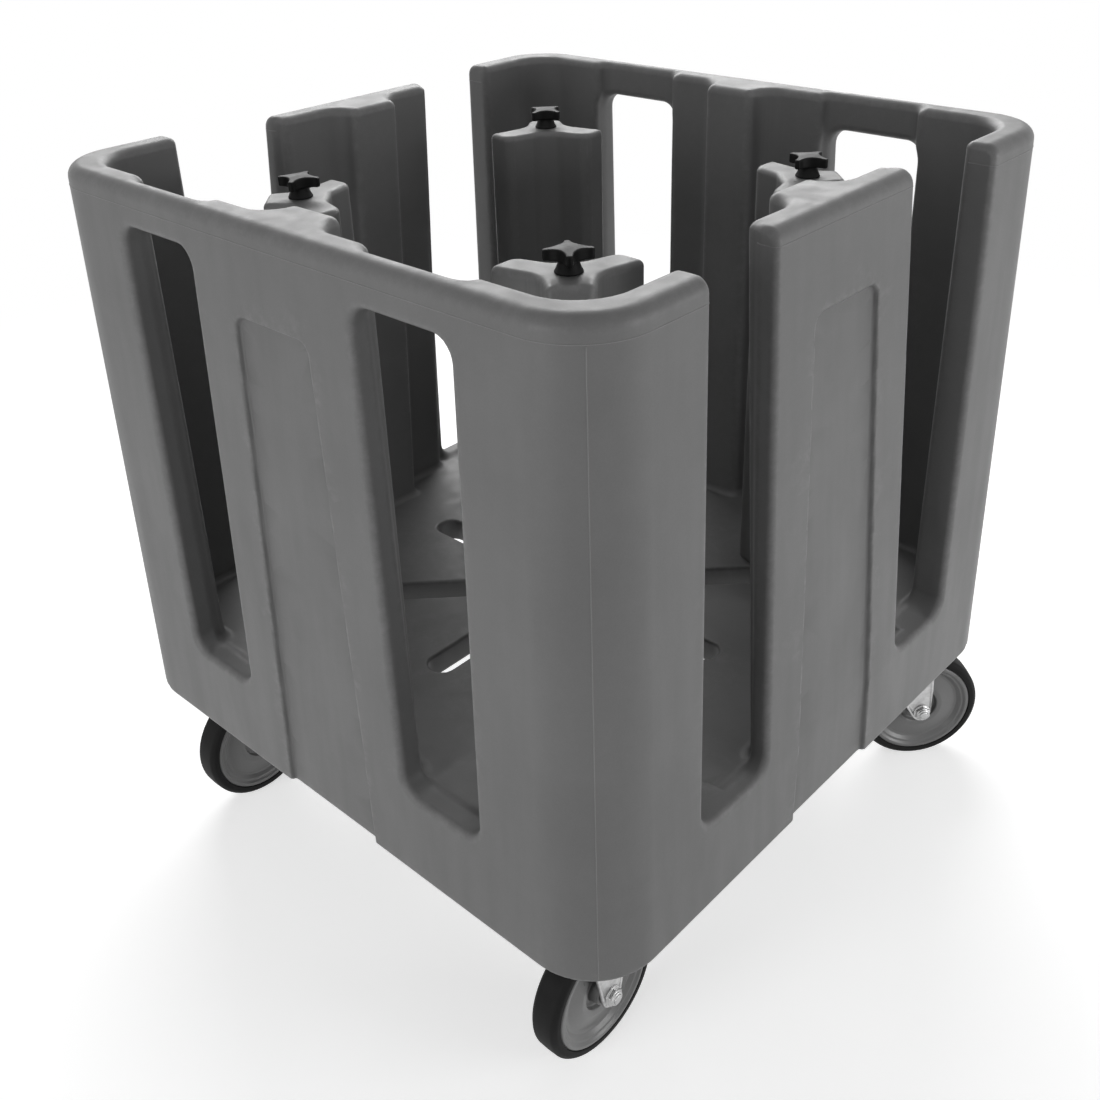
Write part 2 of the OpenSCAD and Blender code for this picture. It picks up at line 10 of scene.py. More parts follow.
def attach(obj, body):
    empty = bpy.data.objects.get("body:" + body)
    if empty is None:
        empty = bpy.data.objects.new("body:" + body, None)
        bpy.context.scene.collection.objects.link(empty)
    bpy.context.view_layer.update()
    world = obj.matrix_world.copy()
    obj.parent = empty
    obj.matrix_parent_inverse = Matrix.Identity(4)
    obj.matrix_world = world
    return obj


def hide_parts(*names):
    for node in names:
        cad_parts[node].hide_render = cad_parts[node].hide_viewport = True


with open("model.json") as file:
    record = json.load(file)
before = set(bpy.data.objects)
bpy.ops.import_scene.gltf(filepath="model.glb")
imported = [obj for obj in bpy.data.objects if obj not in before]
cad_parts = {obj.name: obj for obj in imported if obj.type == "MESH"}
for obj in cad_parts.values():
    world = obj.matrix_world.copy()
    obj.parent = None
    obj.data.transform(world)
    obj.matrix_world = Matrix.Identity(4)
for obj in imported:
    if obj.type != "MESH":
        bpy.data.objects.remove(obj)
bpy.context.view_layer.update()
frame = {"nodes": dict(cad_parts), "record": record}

# The tub is one rotationally moulded piece of double-walled grey polyethylene: four posts,
# two window rails, four panels with an inner fin each, a slotted floor and a skirt. The front
# and back panels stand free and lean inward a little. Its lengths here are in millimetres.
rim_height = 810.0
skirt_height = 184.0
floor_height = 280.0
half_at_skirt = 368.0
half_at_rim = 360.0
corner_middle = 294.0
inside_corner = 44
tub_draft = math.atan((half_at_skirt - half_at_rim) / (rim_height - skirt_height))
panel_lean = math.atan(22 / 530) + tub_draft
panel_edge = 168
wall_thick, rail_thick = 34.0, 22.0
fin_half, fin_depth, fin_fillet = 32, 65, 26
thick_to, thin_middle, thick_from = 107, 164, 222
window_bottom, window_top = floor_height + 4, 769
near_at_bottom, near_at_top = 123, 111
far_at_bottom, far_at_top = 223, 225
gap_corner = 20
window_reach, open_slot_reach = 280, 250
channel_top, channel_depth = 722, 5
channel_half, channel_spread = 51.5, 18
slot_half, slot_start, side_slot_end, corner_slot_end = 16, 76, 218, 304
mount_height, pad_start = 190.0, 215
under_half, under_corner, under_height = 339, 40, 250
rim_rounding, jamb_rounding, inner_rounding, step_rounding = 13.0, 7.0, 9.0, 7


def cut_round(a, b, radius):
    """Keeps what is inside both a and b and rounds the edge where they meet."""
    over = np.hypot(np.maximum(a + radius, 0), np.maximum(b + radius, 0))
    return np.minimum(np.maximum(a, b), -radius) + over


def join_round(a, b, radius):
    """Joins a and b and fills the corner between them with a fillet."""
    under = np.hypot(np.maximum(radius - a, 0), np.maximum(radius - b, 0))
    return np.maximum(np.minimum(a, b), radius) - under


def off_rectangle(x, y, half_x, half_y):
    """Signed distance in plan to a rectangle about the origin, negative inside."""
    qx, qy = np.abs(x) - half_x, np.abs(y) - half_y
    return np.hypot(np.maximum(qx, 0), np.maximum(qy, 0)) + np.minimum(np.maximum(qx, qy), 0)


def half_of_tub(z):
    """Half the tub's width at a height."""
    return half_at_skirt - math.tan(tub_draft) * (z - skirt_height)


def panel_wall(along, out):
    """A wall with its fin in plan: out is measured from the wall's outer face.

    The wall is thick at the panel and at the post, with a soft step to the rail's thickness.
    """
    thick, slope = -wall_thick - out, 0.6
    at_post = cut_round(thick, (thick_from - along) * slope, step_rounding)
    at_panel = cut_round(thick, (along - thick_to) * slope, step_rounding)
    thick = np.where(along > thin_middle, at_post, at_panel)
    wall = join_round(-rail_thick - out, thick, step_rounding)
    fin = cut_round(along - fin_half, -fin_depth - out, inner_rounding)
    return join_round(wall, fin, fin_fillet)


def gap_through_wall(along, z, top):
    """Window or slot in a wall seen from outside. It narrows a little downwards."""
    rise = (z - window_bottom) / (window_top - window_bottom)
    near = near_at_bottom + (near_at_top - near_at_bottom) * rise
    far = far_at_bottom + (far_at_top - far_at_bottom) * rise
    sides = np.maximum(near - along, along - far)
    ends = np.maximum(window_bottom - z, z - top)
    return cut_round(sides, ends, gap_corner)


def channel_in_face(along, out, z):
    """Shallow channel down the outside of a panel, with sloping sides."""
    share_down = (channel_top - z) / (channel_top - skirt_height)
    half = channel_half + channel_spread * share_down
    sides = (along - half - 0.4 * out) * 0.93
    top = (z - channel_top - 0.4 * out) * 0.93
    return cut_round(cut_round(sides, top, 12), -channel_depth - out, 1.5)


def floor_slot(x, y, end):
    """Round-ended slot along x in the floor."""
    ends = np.clip(x, slot_start + slot_half, end - slot_half)
    return np.hypot(x - ends, y) - slot_half


def tub_distance(x, y, z):
    """Signed distance to the tub's skin, negative in the plastic."""
    x, y = np.abs(x), np.abs(y)
    half = half_of_tub(z)
    face = off_rectangle(x, y, corner_middle, corner_middle) - (half - corner_middle)
    foot = half_of_tub(floor_height)
    lean = (y - foot) * math.cos(panel_lean) + (z - floor_height) * math.sin(panel_lean)
    on_panel = x < panel_edge
    face = np.where(on_panel, np.maximum(face, lean), face)
    channel_x = channel_in_face(y, x - half, z)
    channel_y = channel_in_face(x, np.where(z > floor_height, lean, y - half), z)
    face = cut_round(face, -np.minimum(channel_x, channel_y), 1.2)
    outer = cut_round(face, z - rim_height, rim_rounding)
    outer = cut_round(outer, skirt_height - z, 4)
    windows = np.maximum(gap_through_wall(y, z, window_top), window_reach - x)
    open_slots = gap_through_wall(x, z, rim_height + 1000)
    open_slots = np.maximum(open_slots, open_slot_reach - y)
    outer = cut_round(outer, -windows, jamb_rounding)
    outer = cut_round(outer, -open_slots, jamb_rounding)
    side_wall = panel_wall(y, x - half_at_rim)
    end_wall = np.where(on_panel, panel_wall(x, lean), half_at_rim - wall_thick - y)
    walls = join_round(side_wall, end_wall, inside_corner)
    inside = join_round(walls, z - floor_height, inner_rounding)
    tub = cut_round(outer, inside, inner_rounding)
    side_slots = np.minimum(floor_slot(x, y, side_slot_end), floor_slot(y, x, side_slot_end))
    diagonal, across = (x + y) * 0.70711, (x - y) * 0.70711
    slots = np.minimum(side_slots, floor_slot(diagonal, across, corner_slot_end))
    slots = np.maximum(slots, z - floor_height - 6)
    tub = cut_round(tub, -slots, 3)
    pad = cut_round(cut_round(pad_start - x, pad_start - y, 10), mount_height - z, 4)
    under = cut_round(x - under_half, y - under_half, under_corner)
    under = cut_round(under, z - under_height, 12)
    under = cut_round(under, -pad, 6)
    return cut_round(tub, -under, 4)


def skin_mesh(name, distance, low, high, cell):
    """Mesh of a distance field's zero surface: a point per mixed cell, moved onto the skin."""
    axes = [np.arange(a, b + cell, cell) for a, b in zip(low, high)]
    x, y, z = np.meshgrid(*axes, indexing="ij", sparse=True)
    field = np.broadcast_to(distance(x, y, z), [len(a) for a in axes])
    inside = field < 0
    spots = [(i, j, k) for i in (0, 1) for j in (0, 1) for k in (0, 1)]
    cells = [n - 1 for n in inside.shape]
    filled = np.zeros(cells, np.int8)
    for i, j, k in spots:
        filled += inside[i:cells[0] + i, j:cells[1] + j, k:cells[2] + k]
    mixed = (filled > 0) & (filled < 8)
    number = np.full(mixed.shape, -1, np.int64)
    number[mixed] = np.arange(mixed.sum())
    at = np.argwhere(mixed)
    values = [field[at[:, 0] + i, at[:, 1] + j, at[:, 2] + k] for i, j, k in spots]
    spot = np.array(spots, float)
    total, count = np.zeros((len(at), 3)), np.zeros(len(at))
    for a in range(8):
        for b in range(a + 1, 8):
            if np.abs(spot[a] - spot[b]).sum() == 1:
                crossed = (values[a] < 0) != (values[b] < 0)
                step = np.where(crossed, values[a] / np.where(crossed, values[a] - values[b], 1), 0)
                total += crossed[:, None] * (spot[a] + step[:, None] * (spot[b] - spot[a]))
                count += crossed
    points = np.array(low) + (at + total / count[:, None]) * cell
    for _ in range(3):
        points -= np.clip(skin_normals(distance, points, True), -cell / 2, cell / 2)
    faces = []
    for axis in range(3):
        first = np.swapaxes(inside, 0, axis)
        grid = np.swapaxes(number, 0, axis)
        i, j, k = np.argwhere(first[:-1, 1:-1, 1:-1] != first[1:, 1:-1, 1:-1]).T
        quad = np.stack([grid[i, j, k], grid[i, j + 1, k],
                         grid[i, j + 1, k + 1], grid[i, j, k + 1]], 1)
        flip = first[i, j + 1, k + 1] != (axis > 0)
        faces.append(np.where(flip[:, None], quad, quad[:, ::-1]))
    faces = np.concatenate(faces)
    mesh = bpy.data.meshes.new(name)
    mesh.vertices.add(len(points))
    mesh.vertices.foreach_set("co", (points / 1000).ravel())
    mesh.loops.add(faces.size)
    mesh.loops.foreach_set("vertex_index", faces.ravel())
    mesh.polygons.add(len(faces))
    mesh.polygons.foreach_set("loop_start", np.arange(0, faces.size, 4))
    mesh.update(calc_edges=True)
    mesh.validate()
    return mesh


def skin_normals(distance, points, as_step=False):
    """Outward direction of the skin at each point, or the step that leads onto the skin."""
    small = 0.4
    slope = np.stack([
        distance(*(points + small * axis).T) - distance(*(points - small * axis).T)
        for axis in np.eye(3)
    ], 1) / (2 * small)
    length2 = np.maximum((slope ** 2).sum(1), 0.05)
    if as_step:
        return slope * (distance(*points.T) / length2)[:, None]
    return slope / np.sqrt(length2)[:, None]


def thin_out(piece, share):
    """Fewer faces on the flats, keeping the shape."""
    bpy.context.view_layer.objects.active = piece
    fewer = piece.modifiers.new("fewer faces", "DECIMATE")
    fewer.ratio = share
    bpy.ops.object.modifier_apply(modifier=fewer.name)


def add_piece(mesh, name, place=Matrix()):
    """Puts a piece made of the mesh into the scene."""
    piece = bpy.data.objects.new(name, mesh)
    bpy.context.scene.collection.objects.link(piece)
    piece.matrix_world = place
    return piece


def smooth_by_skin(piece, distance):
    """Shades the piece with the skin's own directions, and returns its points."""
    mesh = piece.data
    points = np.zeros(len(mesh.vertices) * 3)
    mesh.vertices.foreach_get("co", points)
    mesh.polygons.foreach_set("use_smooth", np.ones(len(mesh.polygons), bool))
    points = points.reshape(-1, 3) * 1000
    mesh.normals_split_custom_set_from_vertices(skin_normals(distance, points))
    return points


def mark_edges(piece, distance, points, reach=3.0):
    """Stores how much the skin bends at each point: rubbed edges and creases."""
    around = [distance(*(points + s * reach * axis).T) for axis in np.eye(3) for s in (-1, 1)]
    bend = (sum(around) / 6 - distance(*points.T)) * 6 / reach ** 2
    sharpest = 0.16
    for name, value in (("rubbed", bend / sharpest), ("crease", -bend / sharpest)):
        marks = piece.data.attributes.new(name, "FLOAT", "POINT")
        marks.data.foreach_set("value", np.clip(value, 0, 1))


def shader_node(tree, kind, settings=None, **sockets):
    """Adds a shader node, sets its options, and sets or joins its inputs by name or number."""
    node = tree.nodes.new(kind)
    for option, value in (settings or {}).items():
        setattr(node, option, value)
    for name, value in sockets.items():
        numbered = name[:2] == "in" and name[2:].isdigit()
        socket = node.inputs[int(name[2:]) if numbered else name.replace("_", " ")]
        if isinstance(value, bpy.types.NodeSocket):
            tree.links.new(value, socket)
        else:
            socket.default_value = value
    return node


def calculate(tree, operation, *values):
    """Result of a maths node on the values."""
    inputs = {f"in{n}": value for n, value in enumerate(values)}
    return shader_node(tree, "ShaderNodeMath", {"operation": operation}, **inputs).outputs[0]


def noise(tree, place, scale, detail, rough=0.5):
    """Strength of a noise texture."""
    return shader_node(tree, "ShaderNodeTexNoise", Vector=place, Scale=scale, Detail=detail,
                       Roughness=rough).outputs["Fac"]


def mapped(tree, value, low, high, new_low=0.0, new_high=1.0):
    """The value, with low to high carried over to the new range."""
    return shader_node(tree, "ShaderNodeMapRange", Value=value, in1=low, in2=high,
                       in3=new_low, in4=new_high).outputs[0]


def grey_of(level):
    """Neutral colour from a screen grey of 0 to 255."""
    linear = ((level / 255 + 0.055) / 1.055) ** 2.4
    return (linear, linear, linear, 1)


def two_tone(tree, amount, dark, dark_at, light, light_at):
    """Colour that runs from a dark to a light grey with the amount."""
    ramp = shader_node(tree, "ShaderNodeValToRGB", Fac=amount)
    low, high = ramp.color_ramp.elements
    low.position, low.color = dark_at, grey_of(dark)
    high.position, high.color = light_at, grey_of(light)
    return ramp.outputs["Color"]


def mixed_in(tree, share, colour, level):
    """The colour with a share of a grey mixed in."""
    return shader_node(tree, "ShaderNodeMix", {"data_type": "RGBA"}, in0=share, in6=colour,
                       in7=grey_of(level)).outputs[2]


def new_finish(name):
    """A new material, its node tree and its main shader."""
    finish = bpy.data.materials.new(name)
    finish.use_nodes = True
    return finish, finish.node_tree, finish.node_tree.nodes["Principled BSDF"]


def join_up(tree, shade, colour, roughness, normal):
    """Joins what varies over the piece to its main shader."""
    tree.links.new(colour, shade.inputs["Base Color"])
    tree.links.new(roughness, shade.inputs["Roughness"])
    tree.links.new(normal, shade.inputs["Normal"])


def moulded_plastic(name, light, dark, rough, pebble_size=1.6, pebble_depth=0.00012,
                    rubbed=0.0, shine=0.4):
    """Matt moulded plastic: pebbled, a little uneven in tone, paler where it is rubbed, with
    painted shade darkening its creases.
    """
    finish, tree, shade = new_finish(name)
    place = shader_node(tree, "ShaderNodeTexCoord").outputs["Object"]
    cloud = noise(tree, place, 7.0, 5.0, 0.62)
    speck = noise(tree, place, 620.0, 2.0, 0.7)
    tone = calculate(tree, "MULTIPLY_ADD", speck, 0.35, cloud)
    colour = two_tone(tree, tone, dark, 0.36, light, 0.98)
    drawn_down = shader_node(tree, "ShaderNodeMapping", Vector=place, Scale=(1.0, 1.0, 0.12))
    streak = noise(tree, drawn_down.outputs[0], 55.0, 3.0)
    roughness = mapped(tree, streak, 0.3, 0.7, rough - 0.05, rough + 0.07)
    if rubbed:
        edge, fold = [shader_node(tree, "ShaderNodeAttribute", {"attribute_name": mark})
                      for mark in ("rubbed", "crease")]
        worn = mapped(tree, noise(tree, place, 95.0, 4.0, 0.7), 0.44, 0.66)
        wear = calculate(tree, "MULTIPLY", edge.outputs["Fac"], worn)
        colour = mixed_in(tree, calculate(tree, "MULTIPLY", wear, rubbed), colour, light + 30)
        # Painted shade: the creases are mixed towards a darker grey, for the shade that falls in
        # them.
        crease_shade = calculate(tree, "MULTIPLY", fold.outputs["Fac"], 0.35)
        colour = mixed_in(tree, crease_shade, colour, dark - 22)
        roughness = calculate(tree, "MULTIPLY_ADD", wear, -0.08, roughness)
    wavy = shader_node(tree, "ShaderNodeBump", Strength=0.25, Distance=0.0016,
                       Height=noise(tree, place, 11.0, 2.0))
    grain = shader_node(tree, "ShaderNodeBump", Strength=0.5, Distance=pebble_depth,
                        Height=noise(tree, place, 1000.0 / pebble_size, 3.0, 0.55),
                        Normal=wavy.outputs[0])
    join_up(tree, shade, colour, roughness, grain.outputs[0])
    shade.inputs["IOR"].default_value = 1.5
    shade.inputs["Specular IOR Level"].default_value = shine
    return finish


def dress(piece, body, slot, finish, *nodes):
    """Gives a piece its finish, hangs it under its body, and hides the nodes that it stands for."""
    piece.data.materials.clear()
    piece.data.materials.append(finish)
    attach(piece, body)
    if nodes:
        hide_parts(*nodes)


tub_grey = moulded_plastic("moulded grey", 124, 112, 0.5, rubbed=0.22)
tub = add_piece(skin_mesh("tub", tub_distance, (-373, -373, 178), (373, 373, 816), 3.2), "tub")
thin_out(tub, 0.25)
mark_edges(tub, tub_distance, smooth_by_skin(tub, tub_distance))
dress(tub, "cart", "moulded_grey", tub_grey, "body")

# The mould halves leave a fine raised line all round, a finger's width under the rim, and
# one down the middle of each outer corner. It is part of the tub's moulded skin. Its paler
# grey is a painted highlight, the light that the raised line catches.
corner_names = ("front_left", "front_right", "back_right", "back_left")
corner_signs = ((-1, -1), (1, -1), (1, 1), (-1, 1))
wall_line_height, panel_line_height = 790.0, 795.0


def ring_faces(rings, sides, closed=False):
    """Faces between rings of points, joined to a loop if closed, else with a face at each end."""
    faces = [(i * sides + j, i * sides + (j + 1) % sides,
              (i + 1) % rings * sides + (j + 1) % sides, (i + 1) % rings * sides + j)
             for i in range(rings if closed else rings - 1) for j in range(sides)]
    if not closed:
        faces += [tuple(range(sides))[::-1], tuple(range((rings - 1) * sides, rings * sides))]
    return faces


def on_circle(radius, angles, middle=(0, 0)):
    """Points on a circle at angles in degrees."""
    return [(middle[0] + radius * math.cos(math.radians(a)),
             middle[1] + radius * math.sin(math.radians(a))) for a in angles]


def line_on_skin(name, points, across):
    """Raised line along points on the tub's skin, 1.1 mm wide and 0.35 mm high, in a paler grey
    that is a painted highlight.
    """
    out = skin_normals(tub_distance, points)
    section = ((-0.55, -0.15), (-0.32, 0.2), (0.0, 0.35), (0.32, 0.2), (0.55, -0.15))
    rings = np.stack([points + a * across + b * out for a, b in section], 1)
    mesh = bpy.data.meshes.new(name)
    mesh.from_pydata((rings.reshape(-1, 3) / 1000).tolist(), [], ring_faces(*rings.shape[:2]))
    mesh.shade_smooth()
    dress(add_piece(mesh, name), "cart", "moulded_grey", seam_painted_highlight)


def along_outline(corners, z):
    """Points each 3 mm along a path in plan, drawn onto the tub's skin at one height."""
    corners = np.array(corners, float)
    lengths = np.concatenate([[0], np.hypot(*np.diff(corners, axis=0).T).cumsum()])
    at = np.linspace(0, lengths[-1], int(lengths[-1] / 3) + 1)
    points = np.stack([np.interp(at, lengths, corners[:, 0]),
                       np.interp(at, lengths, corners[:, 1]), np.full(len(at), z)], 1)
    for _ in range(8):
        move = skin_normals(tub_distance, points, True)
        move[:, 2] = 0
        points -= np.clip(move, -3, 3)
    return points


# The mould lines are painted paler than the tub: a painted highlight where light catches them.
seam_painted_highlight = moulded_plastic("rubbed mould line", 144, 130, 0.46)
up = np.array((0.0, 0.0, 1.0))
post_edge = [(222, 332), (222, 352), (226, 362), (236, 366)]
round_corner = post_edge + on_circle(70, range(90, -1, -6), (corner_middle, corner_middle))
side_path = [(x, -y) for x, y in round_corner] + round_corner[::-1]
panel_path = [(112, 316), (113, 328), (107, 338), (0, 340),
              (-107, 338), (-113, 328), (-112, 316)]
for sign, side, end in ((-1, "left", "front"), (1, "right", "back")):
    points = along_outline([(sign * x, y) for x, y in side_path], wall_line_height)
    line_on_skin("mould_line_" + side, points, up)
    points = along_outline([(x, sign * y) for x, y in panel_path], panel_line_height)
    line_on_skin("mould_line_" + end, points, up)
heights = np.linspace(skirt_height + 4.5, wall_line_height - 0.5, 120)
reach = corner_middle + (half_of_tub(heights) - corner_middle) / math.sqrt(2)
for corner, (sx, sy) in zip(corner_names, corner_signs):
    points = np.stack([sx * reach, sy * reach, heights], 1)
    across = np.array((-sy, sx, 0)) / math.sqrt(2) * sx * sy
    line_on_skin("corner_line_" + corner, points, across)

# Two fixed casters carry the left side. Each bracket is one sheet of 3 mm steel with two
# legs bent down from a bolted top plate, the edges of the legs turned out, then zinc plated.
joint_of = {joint["name"]: joint for joint in frame["record"]["behaviour"]["joints"]}
fixed_corners, swivel_corners = ("front_left", "back_left"), ("front_right", "back_right")
axle_height = 75.0
sheet_half = 1.5
leg_middle = 22.5


def zinc_plate(name, light, dark, rough):
    """Zinc plated steel: grey, satin, a little cloudy, with fine rubbing marks."""
    finish, tree, shade = new_finish(name)
    shade.inputs["Metallic"].default_value = 1.0
    place = shader_node(tree, "ShaderNodeTexCoord").outputs["Object"]
    colour = two_tone(tree, noise(tree, place, 60.0, 6.0, 0.65), dark, 0.35, light, 0.68)
    drawn_out = shader_node(tree, "ShaderNodeMapping", Vector=place, Scale=(0.08, 1.0, 1.0))
    marks = noise(tree, drawn_out.outputs[0], 900.0, 3.0)
    roughness = mapped(tree, marks, 0.3, 0.7, rough - 0.08, rough + 0.12)
    skin = shader_node(tree, "ShaderNodeBump", Strength=0.3, Distance=0.00005, Height=marks)
    join_up(tree, shade, colour, roughness, skin.outputs[0])
    return finish


def plan_distance(outline, x, y):
    """Signed distance to a closed outline in plan, negative inside."""
    best, inside = np.inf, False
    for (ax, ay), (bx, by) in zip(outline, np.roll(outline, -1, 0)):
        ex, ey = bx - ax, by - ay
        t = np.clip(((x - ax) * ex + (y - ay) * ey) / (ex * ex + ey * ey), 0, 1)
        best = np.minimum(best, np.hypot(x - ax - t * ex, y - ay - t * ey))
        inside = inside ^ (((ay > y) != (by > y)) & (x < ex * (y - ay) / (ey or 1e-9) + ax))
    return np.where(inside, -best, best)


def leg_outline(back, front, top):
    """Side view of a leg about its axle hole: wide at the top, round at the foot."""
    points = sorted(on_circle(13, range(0, 360, 10)) + [(-back, top), (front, top)])
    hull = []
    for side in (points, points[::-1]):
        part = []
        for p in side:
            while len(part) > 1:
                a, b = part[-2:]
                if (b[0] - a[0]) * (p[1] - a[1]) - (b[1] - a[1]) * (p[0] - a[0]) > 0:
                    break
                part.pop()
            part.append(p)
        hull += part[:-1]
    return np.array(hull)


def bent_legs(outline, x, y, z):
    """Two legs of 3 mm sheet with an edge turned out 2 mm, about the axle."""
    side = plan_distance(outline, x, z - axle_height)
    sheet = cut_round(side, np.abs(np.abs(y) - leg_middle) - sheet_half, 0.8)
    lip = cut_round(np.abs(side + 1.4) - 1.4, np.abs(np.abs(y) - leg_middle - 1.7) - 1.6, 0.8)
    lip = np.maximum(lip, z - outline[:, 1].max() - axle_height + 6)
    legs = join_round(sheet, lip, 1.5)
    return np.maximum(legs, 5.3 - np.hypot(x, z - axle_height))


def top_plate(x, y, z):
    """Bolted plate, 104 by 84 and 4 thick, with four bolt holes."""
    side = off_rectangle(x, y, 44, 34) - 8
    plate = cut_round(side, np.abs(z - mount_height + 2) - 2, 0.8)
    return np.maximum(plate, 4.6 - np.hypot(np.abs(x) - 40, np.abs(y) - 30))


fixed_leg = leg_outline(36, 36, mount_height - axle_height - 2)


def fixed_bracket_distance(x, y, z):
    """Legs and top plate of a fixed bracket in one sheet."""
    return join_round(bent_legs(fixed_leg, x, y, z), top_plate(x, y, z), 3)


def skinned(name, distance, low, high, cell, keep=0.35):
    """Mesh of a shape with its smooth skin and the marks for its edges."""
    piece = add_piece(skin_mesh(name, distance, low, high, cell), name)
    thin_out(piece, keep)
    mark_edges(piece, distance, smooth_by_skin(piece, distance), 0.8)
    mesh = piece.data
    bpy.data.objects.remove(piece)
    return mesh


zinc = zinc_plate("zinc plated sheet", 214, 176, 0.36)
bracket_mesh = skinned("fixed bracket", fixed_bracket_distance, (-54, -44, 60), (54, 44, 192), 1.5)
for corner in fixed_corners:
    x, y, _ = joint_of[corner + "_wheel_roll"]["pos_m"]
    bracket = add_piece(bracket_mesh, "bracket_" + corner, Matrix.Translation((x, y, 0)))
    dress(bracket, "cart", "zinc_plated", zinc, "fixed_bracket_" + corner)

# Two swivel casters carry the right side. A pressed race plate is bolted up, a ring of
# balls runs in it, and the fork turns on a king pin. The fork's legs lead back to the axle.
# The balls, the king pins and the mounting bolts are shown as the solids, in bright steel.
race_height = 174.0
ball_ring, ball_radius = 26, 4.1
king_pin_hole = 6.2
trail = 43.0
swivel_leg = leg_outline(trail + 24, 8, 163 - axle_height)


def ball_groove(r, z):
    """Room for the ring of balls, half of it in the race plate and half in the fork."""
    return ball_radius - np.hypot(r - ball_ring, z - race_height)


def race_plate_distance(x, y, z):
    """Top plate with a round race pressed down from it, and room for the king pin's head."""
    r = np.hypot(x, y)
    cone = cut_round(r - 33 - 5 * (z - race_height) / 12, race_height - z, 1.2)
    cone = np.maximum(cone, z - 187)
    plate = join_round(top_plate(x, y, z), cone, 2)
    plate = np.maximum(plate, ball_groove(r, z))
    plate = np.maximum(plate, np.minimum(11 - r, z - 183))
    return np.maximum(plate, king_pin_hole - r)


def fork_distance(x, y, z):
    """Round crown with an arm that leads back to the two legs."""
    r = np.hypot(x, y)
    crown = cut_round(r - 38 + 4 * (z - 160) / 13, np.abs(z - 166.5) - 6.5, 2)
    arm = cut_round(np.maximum(-x, x - 51), np.abs(y) - 24, 3)
    arm = cut_round(arm, np.abs(z - 161.5) - sheet_half, 0.8)
    legs = bent_legs(swivel_leg, x - trail, y, z)
    fork = join_round(join_round(crown, arm, 2), legs, 3)
    fork = cut_round(fork, cut_round(np.abs(y) - 26.5, z - 200, 1), 1)
    fork = np.maximum(fork, ball_groove(r, z))
    return np.maximum(fork, king_pin_hole - r)


def turn_of(corner):
    """Turn about Z that brings the Y axis along a wheel's axle."""
    across_x, across_y, _ = joint_of[corner + "_wheel_roll"]["axis"]
    return Matrix.Rotation(math.atan2(-across_x, across_y), 4, "Z")


race_mesh = skinned("race plate", race_plate_distance, (-54, -44, 172), (54, 44, 192), 1.3)
fork_mesh = skinned("swivel fork", fork_distance, (-42, -29, 60), (54, 29, 176), 1.3)
bright = zinc_plate("bright steel", 200, 170, 0.28)
for corner in swivel_corners:
    x, y, _ = joint_of[corner + "_swivel"]["pos_m"]
    place = Matrix.Translation((x, y, 0))
    race = add_piece(race_mesh, "race_plate_" + corner, place)
    dress(race, "cart", "zinc_plated", zinc, "swivel_plate_" + corner)
    fork = add_piece(fork_mesh, "fork_" + corner, place @ turn_of(corner))
    dress(fork, "fork_" + corner, "zinc_plated", zinc, "swivel_fork_" + corner)
for node in ("swivel_balls_front_right", "swivel_balls_back_right",
             "king_pin_front_right", "king_pin_back_right", "caster_bolts"):
    frame["nodes"][node].data.materials.clear()
    frame["nodes"][node].data.materials.append(bright)

# Four wheels run on a plastic bush and an M10 bolt. Each has a grey nylon centre with a
# raised ring and a dished disc, and a black rubber tyre moulded round it.
def rounded_path(corners, steps=6):
    """Closed outline through corners, each with its own radius."""
    points = []
    count = len(corners)
    for i, (x, y, radius) in enumerate(corners):
        here = Vector((x, y))
        back = Vector(corners[i - 1][:2]) - here
        ahead = Vector(corners[(i + 1) % count][:2]) - here
        if radius <= 0:
            points.append((x, y))
            continue
        u, w = back.normalized(), ahead.normalized()
        half = math.acos(max(-1, min(1, u.dot(w)))) / 2
        radius = min(radius, 0.49 * min(back.length, ahead.length) * math.tan(half))
        middle = here + (u + w).normalized() * radius / math.sin(half)
        a = here + u * radius / math.tan(half) - middle
        b = here + w * radius / math.tan(half) - middle
        start = math.atan2(a.y, a.x)
        sweep = (math.atan2(b.y, b.x) - start + 3 * math.pi) % (2 * math.pi) - math.pi
        angles = [start + sweep * k / steps for k in range(steps + 1)]
        points += [(middle.x + radius * math.cos(t), middle.y + radius * math.sin(t))
                   for t in angles]
    return np.array(points)


def turned(name, profile, around=96, sharp=34):
    """Piece turned about the Y axis from a closed profile of radius and place along Y, in mm."""
    angles = np.arange(around) * 2 * math.pi / around
    points = np.array([(r * math.cos(a), y, r * math.sin(a)) for a in angles for r, y in profile])
    mesh = bpy.data.meshes.new(name)
    mesh.from_pydata((points / 1000).tolist(), [], ring_faces(around, len(profile), closed=True))
    mesh.shade_smooth()
    mesh.set_sharp_from_angle(angle=math.radians(sharp))
    solid = bmesh.new()
    solid.from_mesh(mesh)
    bmesh.ops.recalc_face_normals(solid, faces=solid.faces)
    solid.to_mesh(mesh)
    solid.free()
    return mesh


def both_sides(half):
    """A profile's half on one side of the wheel, mirrored to close it."""
    return half + [(r, -y, radius) for r, y, radius in half[::-1]]


